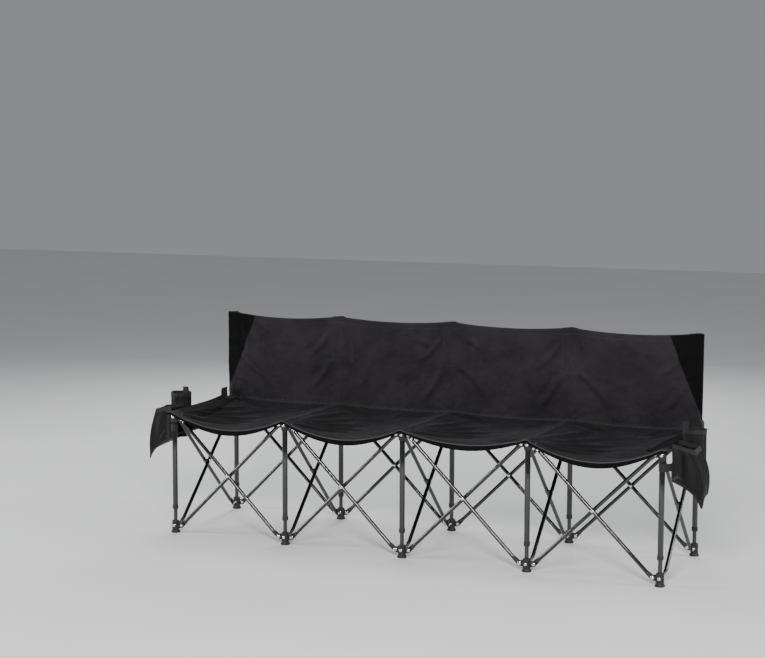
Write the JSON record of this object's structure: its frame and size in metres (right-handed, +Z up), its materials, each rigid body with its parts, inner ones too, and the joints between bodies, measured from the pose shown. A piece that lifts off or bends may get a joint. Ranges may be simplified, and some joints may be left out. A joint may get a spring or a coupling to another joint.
{
  "type": "folding team bench",
  "caption": "Folding scissor-frame bench with a fabric seat, a fabric backrest and side organisers.",
  "frame": {"origin": "on the floor, under the middle of the bench", "axes": "+X along the bench to the sitter's left, the seat faces -Y, +Z up"},
  "size_m": [2.0626, 0.487, 0.77],
  "materials": {
    "powder_coat": "gloss",
    "nylon": "satin",
    "canvas": "matte",
    "mesh": "matte"
  },
  "bodies": {
    "front_foot_3": {"front_foot_3": "nylon"},
    "front_link_up_3": {"front_link_up_3": "powder_coat"},
    "front_link_down_3": {"front_link_down_3": "powder_coat"},
    "front_foot_4": {"front_foot_4": "nylon"},
    "front_hub_4": {"front_hub_4": "nylon", "front_tube_4": "powder_coat"},
    "front_link_up_4": {"front_link_up_4": "powder_coat"},
    "front_link_down_4": {"front_link_down_4": "powder_coat"},
    "front_foot_5": {"front_foot_5": "nylon"},
    "front_hub_5": {"front_hub_5": "nylon", "front_tube_5": "powder_coat", "side_pouch_right": "mesh", "bottle_sleeve_right": "canvas"},
    "front_link_up_2": {"front_link_up_2": "powder_coat"},
    "front_link_down_2": {"front_link_down_2": "powder_coat"},
    "front_foot_2": {"front_foot_2": "nylon"},
    "front_hub_2": {"front_hub_2": "nylon", "front_tube_2": "powder_coat"},
    "front_link_up_1": {"front_link_up_1": "powder_coat"},
    "front_link_down_1": {"front_link_down_1": "powder_coat"},
    "front_foot_1": {"front_foot_1": "nylon"},
    "front_hub_1": {"front_hub_1": "nylon", "front_tube_1": "powder_coat", "side_pouch_left": "mesh", "bottle_sleeve_left": "canvas"},
    "front_hub_3": {"front_hub_3": "nylon", "front_tube_3": "powder_coat"},
    "side_link_rising_1": {"side_link_rising_1": "powder_coat"},
    "side_link_falling_1": {"side_link_falling_1": "powder_coat"},
    "rear_foot_1": {"rear_foot_1": "nylon"},
    "rear_post_1": {"rear_post_1": "powder_coat"},
    "side_link_rising_2": {"side_link_rising_2": "powder_coat"},
    "side_link_falling_2": {"side_link_falling_2": "powder_coat"},
    "rear_foot_2": {"rear_foot_2": "nylon"},
    "rear_post_2": {"rear_post_2": "powder_coat"},
    "side_link_rising_3": {"side_link_rising_3": "powder_coat"},
    "side_link_falling_3": {"side_link_falling_3": "powder_coat"},
    "rear_foot_3": {"rear_foot_3": "nylon"},
    "rear_post_3": {"rear_post_3": "powder_coat", "backrest": "canvas"},
    "side_link_rising_4": {"side_link_rising_4": "powder_coat"},
    "side_link_falling_4": {"side_link_falling_4": "powder_coat"},
    "rear_foot_4": {"rear_foot_4": "nylon"},
    "rear_post_4": {"rear_post_4": "powder_coat"},
    "side_link_rising_5": {"side_link_rising_5": "powder_coat"},
    "side_link_falling_5": {"side_link_falling_5": "powder_coat"},
    "rear_foot_5": {"rear_foot_5": "nylon"},
    "rear_post_5": {"rear_post_5": "powder_coat"},
    "rear_link_up_1": {"rear_link_up_1": "powder_coat"},
    "rear_link_down_1": {"rear_link_down_1": "powder_coat"},
    "rear_link_up_2": {"rear_link_up_2": "powder_coat"},
    "rear_link_down_2": {"rear_link_down_2": "powder_coat"},
    "rear_link_up_3": {"rear_link_up_3": "powder_coat"},
    "rear_link_down_3": {"rear_link_down_3": "powder_coat"},
    "rear_link_up_4": {"rear_link_up_4": "powder_coat"},
    "rear_link_down_4": {"rear_link_down_4": "powder_coat"},
    "seat_front": {"seat_front": "canvas"},
    "seat_rear": {"seat_rear": "canvas"}
  },
  "joints": [
    {"name": "fold", "type": "hinge", "parent": "front_foot_3", "child": "front_link_up_3", "pos_m": [0.024, -0.225, 0.027], "axis": [0, -1, 0], "range_deg": [0, 41.5], "deforming": ["backrest", "side_pouch_left", "bottle_sleeve_left", "side_pouch_right", "bottle_sleeve_right"]},
    {"name": "front_scissor_3", "type": "hinge", "parent": "front_link_up_3", "child": "front_link_down_3", "pos_m": [0.225, -0.225, 0.2265], "axis": [0, 1, 0], "range_deg": [0, 83]},
    {"name": "front_foot_4_pivot", "type": "hinge", "parent": "front_link_down_3", "child": "front_foot_4", "pos_m": [0.426, -0.225, 0.027], "axis": [0, -1, 0], "range_deg": [0, 41.5]},
    {"name": "front_hub_4_pivot", "type": "hinge", "parent": "front_link_up_3", "child": "front_hub_4", "pos_m": [0.426, -0.225, 0.426], "axis": [0, 1, 0], "range_deg": [0, 41.5]},
    {"name": "front_link_up_4_at_foot", "type": "hinge", "parent": "front_foot_4", "child": "front_link_up_4", "pos_m": [0.474, -0.225, 0.027], "axis": [0, -1, 0], "range_deg": [0, 41.5]},
    {"name": "front_scissor_4", "type": "hinge", "parent": "front_link_up_4", "child": "front_link_down_4", "pos_m": [0.675, -0.225, 0.2265], "axis": [0, 1, 0], "range_deg": [0, 83]},
    {"name": "front_foot_5_pivot", "type": "hinge", "parent": "front_link_down_4", "child": "front_foot_5", "pos_m": [0.876, -0.225, 0.027], "axis": [0, -1, 0], "range_deg": [0, 41.5]},
    {"name": "front_hub_5_pivot", "type": "hinge", "parent": "front_link_up_4", "child": "front_hub_5", "pos_m": [0.876, -0.225, 0.426], "axis": [0, 1, 0], "range_deg": [0, 41.5]},
    {"name": "front_link_down_2_at_foot", "type": "hinge", "parent": "front_foot_3", "child": "front_link_down_2", "pos_m": [-0.024, -0.225, 0.027], "axis": [0, 1, 0], "range_deg": [0, 41.5]},
    {"name": "front_scissor_2", "type": "hinge", "parent": "front_link_down_2", "child": "front_link_up_2", "pos_m": [-0.225, -0.225, 0.2265], "axis": [0, -1, 0], "range_deg": [0, 83]},
    {"name": "front_foot_2_pivot", "type": "hinge", "parent": "front_link_up_2", "child": "front_foot_2", "pos_m": [-0.426, -0.225, 0.027], "axis": [0, 1, 0], "range_deg": [0, 41.5]},
    {"name": "front_hub_2_pivot", "type": "hinge", "parent": "front_link_down_2", "child": "front_hub_2", "pos_m": [-0.426, -0.225, 0.426], "axis": [0, -1, 0], "range_deg": [0, 41.5]},
    {"name": "front_link_down_1_at_foot", "type": "hinge", "parent": "front_foot_2", "child": "front_link_down_1", "pos_m": [-0.474, -0.225, 0.027], "axis": [0, 1, 0], "range_deg": [0, 41.5]},
    {"name": "front_scissor_1", "type": "hinge", "parent": "front_link_down_1", "child": "front_link_up_1", "pos_m": [-0.675, -0.225, 0.2265], "axis": [0, -1, 0], "range_deg": [0, 83]},
    {"name": "front_foot_1_pivot", "type": "hinge", "parent": "front_link_up_1", "child": "front_foot_1", "pos_m": [-0.876, -0.225, 0.027], "axis": [0, 1, 0], "range_deg": [0, 41.5]},
    {"name": "front_hub_1_pivot", "type": "hinge", "parent": "front_link_down_1", "child": "front_hub_1", "pos_m": [-0.876, -0.225, 0.426], "axis": [0, -1, 0], "range_deg": [0, 41.5]},
    {"name": "front_hub_3_pivot", "type": "hinge", "parent": "front_link_down_3", "child": "front_hub_3", "pos_m": [0.024, -0.225, 0.426], "axis": [0, -1, 0], "range_deg": [0, 41.5]},
    {"name": "side_link_1_at_foot", "type": "hinge", "parent": "front_foot_1", "child": "side_link_rising_1", "pos_m": [-0.9, -0.201, 0.027], "axis": [1, 0, 0], "range_deg": [0, 41.5]},
    {"name": "side_scissor_1", "type": "hinge", "parent": "side_link_rising_1", "child": "side_link_falling_1", "pos_m": [-0.9, 0, 0.2265], "axis": [-1, 0, 0], "range_deg": [0, 83]},
    {"name": "rear_foot_1_pivot", "type": "hinge", "parent": "side_link_falling_1", "child": "rear_foot_1", "pos_m": [-0.9, 0.201, 0.027], "axis": [1, 0, 0], "range_deg": [0, 41.5]},
    {"name": "rear_post_1_pivot", "type": "hinge", "parent": "side_link_rising_1", "child": "rear_post_1", "pos_m": [-0.9, 0.201, 0.426], "axis": [-1, 0, 0], "range_deg": [0, 41.5]},
    {"name": "side_link_2_at_foot", "type": "hinge", "parent": "front_foot_2", "child": "side_link_rising_2", "pos_m": [-0.45, -0.201, 0.027], "axis": [1, 0, 0], "range_deg": [0, 41.5]},
    {"name": "side_scissor_2", "type": "hinge", "parent": "side_link_rising_2", "child": "side_link_falling_2", "pos_m": [-0.45, 0, 0.2265], "axis": [-1, 0, 0], "range_deg": [0, 83]},
    {"name": "rear_foot_2_pivot", "type": "hinge", "parent": "side_link_falling_2", "child": "rear_foot_2", "pos_m": [-0.45, 0.201, 0.027], "axis": [1, 0, 0], "range_deg": [0, 41.5]},
    {"name": "rear_post_2_pivot", "type": "hinge", "parent": "side_link_rising_2", "child": "rear_post_2", "pos_m": [-0.45, 0.201, 0.426], "axis": [-1, 0, 0], "range_deg": [0, 41.5]},
    {"name": "side_link_3_at_foot", "type": "hinge", "parent": "front_foot_3", "child": "side_link_rising_3", "pos_m": [0, -0.201, 0.027], "axis": [1, 0, 0], "range_deg": [0, 41.5]},
    {"name": "side_scissor_3", "type": "hinge", "parent": "side_link_rising_3", "child": "side_link_falling_3", "pos_m": [0, 0, 0.2265], "axis": [-1, 0, 0], "range_deg": [0, 83]},
    {"name": "rear_foot_3_pivot", "type": "hinge", "parent": "side_link_falling_3", "child": "rear_foot_3", "pos_m": [0, 0.201, 0.027], "axis": [1, 0, 0], "range_deg": [0, 41.5]},
    {"name": "rear_post_3_pivot", "type": "hinge", "parent": "side_link_rising_3", "child": "rear_post_3", "pos_m": [0, 0.201, 0.426], "axis": [-1, 0, 0], "range_deg": [0, 41.5]},
    {"name": "side_link_4_at_foot", "type": "hinge", "parent": "front_foot_4", "child": "side_link_rising_4", "pos_m": [0.45, -0.201, 0.027], "axis": [1, 0, 0], "range_deg": [0, 41.5]},
    {"name": "side_scissor_4", "type": "hinge", "parent": "side_link_rising_4", "child": "side_link_falling_4", "pos_m": [0.45, 0, 0.2265], "axis": [-1, 0, 0], "range_deg": [0, 83]},
    {"name": "rear_foot_4_pivot", "type": "hinge", "parent": "side_link_falling_4", "child": "rear_foot_4", "pos_m": [0.45, 0.201, 0.027], "axis": [1, 0, 0], "range_deg": [0, 41.5]},
    {"name": "rear_post_4_pivot", "type": "hinge", "parent": "side_link_rising_4", "child": "rear_post_4", "pos_m": [0.45, 0.201, 0.426], "axis": [-1, 0, 0], "range_deg": [0, 41.5]},
    {"name": "side_link_5_at_foot", "type": "hinge", "parent": "front_foot_5", "child": "side_link_rising_5", "pos_m": [0.9, -0.201, 0.027], "axis": [1, 0, 0], "range_deg": [0, 41.5]},
    {"name": "side_scissor_5", "type": "hinge", "parent": "side_link_rising_5", "child": "side_link_falling_5", "pos_m": [0.9, 0, 0.2265], "axis": [-1, 0, 0], "range_deg": [0, 83]},
    {"name": "rear_foot_5_pivot", "type": "hinge", "parent": "side_link_falling_5", "child": "rear_foot_5", "pos_m": [0.9, 0.201, 0.027], "axis": [1, 0, 0], "range_deg": [0, 41.5]},
    {"name": "rear_post_5_pivot", "type": "hinge", "parent": "side_link_rising_5", "child": "rear_post_5", "pos_m": [0.9, 0.201, 0.426], "axis": [-1, 0, 0], "range_deg": [0, 41.5]},
    {"name": "rear_link_1_at_foot", "type": "hinge", "parent": "rear_foot_1", "child": "rear_link_up_1", "pos_m": [-0.876, 0.225, 0.027], "axis": [0, -1, 0], "range_deg": [0, 41.5]},
    {"name": "rear_scissor_1", "type": "hinge", "parent": "rear_link_up_1", "child": "rear_link_down_1", "pos_m": [-0.675, 0.225, 0.2265], "axis": [0, 1, 0], "range_deg": [0, 83]},
    {"name": "rear_link_2_at_foot", "type": "hinge", "parent": "rear_foot_2", "child": "rear_link_up_2", "pos_m": [-0.426, 0.225, 0.027], "axis": [0, -1, 0], "range_deg": [0, 41.5]},
    {"name": "rear_scissor_2", "type": "hinge", "parent": "rear_link_up_2", "child": "rear_link_down_2", "pos_m": [-0.225, 0.225, 0.2265], "axis": [0, 1, 0], "range_deg": [0, 83]},
    {"name": "rear_link_3_at_foot", "type": "hinge", "parent": "rear_foot_3", "child": "rear_link_up_3", "pos_m": [0.024, 0.225, 0.027], "axis": [0, -1, 0], "range_deg": [0, 41.5]},
    {"name": "rear_scissor_3", "type": "hinge", "parent": "rear_link_up_3", "child": "rear_link_down_3", "pos_m": [0.225, 0.225, 0.2265], "axis": [0, 1, 0], "range_deg": [0, 83]},
    {"name": "rear_link_4_at_foot", "type": "hinge", "parent": "rear_foot_4", "child": "rear_link_up_4", "pos_m": [0.474, 0.225, 0.027], "axis": [0, -1, 0], "range_deg": [0, 41.5]},
    {"name": "rear_scissor_4", "type": "hinge", "parent": "rear_link_up_4", "child": "rear_link_down_4", "pos_m": [0.675, 0.225, 0.2265], "axis": [0, 1, 0], "range_deg": [0, 83]},
    {"name": "seat_front_fold", "type": "hinge", "parent": "front_hub_3", "child": "seat_front", "pos_m": [0, -0.245, 0.4425], "axis": [1, 0, 0], "range_deg": [0, 78.85], "deforming": ["seat_front"]},
    {"name": "seat_rear_fold", "type": "hinge", "parent": "rear_post_3", "child": "seat_rear", "pos_m": [0, 0.208, 0.4425], "axis": [-1, 0, 0], "range_deg": [0, 78.85], "deforming": ["seat_rear"]}
  ],
  "couplings": [
    {"joint": "front_scissor_3", "follows": "fold", "ratio": 2},
    {"joint": "front_foot_4_pivot", "follows": "fold", "ratio": 1},
    {"joint": "front_hub_4_pivot", "follows": "fold", "ratio": 1},
    {"joint": "front_link_up_4_at_foot", "follows": "fold", "ratio": 1},
    {"joint": "front_scissor_4", "follows": "fold", "ratio": 2},
    {"joint": "front_foot_5_pivot", "follows": "fold", "ratio": 1},
    {"joint": "front_hub_5_pivot", "follows": "fold", "ratio": 1},
    {"joint": "front_link_down_2_at_foot", "follows": "fold", "ratio": 1},
    {"joint": "front_scissor_2", "follows": "fold", "ratio": 2},
    {"joint": "front_foot_2_pivot", "follows": "fold", "ratio": 1},
    {"joint": "front_hub_2_pivot", "follows": "fold", "ratio": 1},
    {"joint": "front_link_down_1_at_foot", "follows": "fold", "ratio": 1},
    {"joint": "front_scissor_1", "follows": "fold", "ratio": 2},
    {"joint": "front_foot_1_pivot", "follows": "fold", "ratio": 1},
    {"joint": "front_hub_1_pivot", "follows": "fold", "ratio": 1},
    {"joint": "front_hub_3_pivot", "follows": "fold", "ratio": 1},
    {"joint": "side_link_1_at_foot", "follows": "fold", "ratio": 1},
    {"joint": "side_scissor_1", "follows": "fold", "ratio": 2},
    {"joint": "rear_foot_1_pivot", "follows": "fold", "ratio": 1},
    {"joint": "rear_post_1_pivot", "follows": "fold", "ratio": 1},
    {"joint": "side_link_2_at_foot", "follows": "fold", "ratio": 1},
    {"joint": "side_scissor_2", "follows": "fold", "ratio": 2},
    {"joint": "rear_foot_2_pivot", "follows": "fold", "ratio": 1},
    {"joint": "rear_post_2_pivot", "follows": "fold", "ratio": 1},
    {"joint": "side_link_3_at_foot", "follows": "fold", "ratio": 1},
    {"joint": "side_scissor_3", "follows": "fold", "ratio": 2},
    {"joint": "rear_foot_3_pivot", "follows": "fold", "ratio": 1},
    {"joint": "rear_post_3_pivot", "follows": "fold", "ratio": 1},
    {"joint": "side_link_4_at_foot", "follows": "fold", "ratio": 1},
    {"joint": "side_scissor_4", "follows": "fold", "ratio": 2},
    {"joint": "rear_foot_4_pivot", "follows": "fold", "ratio": 1},
    {"joint": "rear_post_4_pivot", "follows": "fold", "ratio": 1},
    {"joint": "side_link_5_at_foot", "follows": "fold", "ratio": 1},
    {"joint": "side_scissor_5", "follows": "fold", "ratio": 2},
    {"joint": "rear_foot_5_pivot", "follows": "fold", "ratio": 1},
    {"joint": "rear_post_5_pivot", "follows": "fold", "ratio": 1},
    {"joint": "rear_link_1_at_foot", "follows": "fold", "ratio": 1},
    {"joint": "rear_scissor_1", "follows": "fold", "ratio": 2},
    {"joint": "rear_link_2_at_foot", "follows": "fold", "ratio": 1},
    {"joint": "rear_scissor_2", "follows": "fold", "ratio": 2},
    {"joint": "rear_link_3_at_foot", "follows": "fold", "ratio": 1},
    {"joint": "rear_scissor_3", "follows": "fold", "ratio": 2},
    {"joint": "rear_link_4_at_foot", "follows": "fold", "ratio": 1},
    {"joint": "rear_scissor_4", "follows": "fold", "ratio": 2},
    {"joint": "seat_front_fold", "follows": "fold", "ratio": 1.9},
    {"joint": "seat_rear_fold", "follows": "fold", "ratio": 1.9}
  ]
}
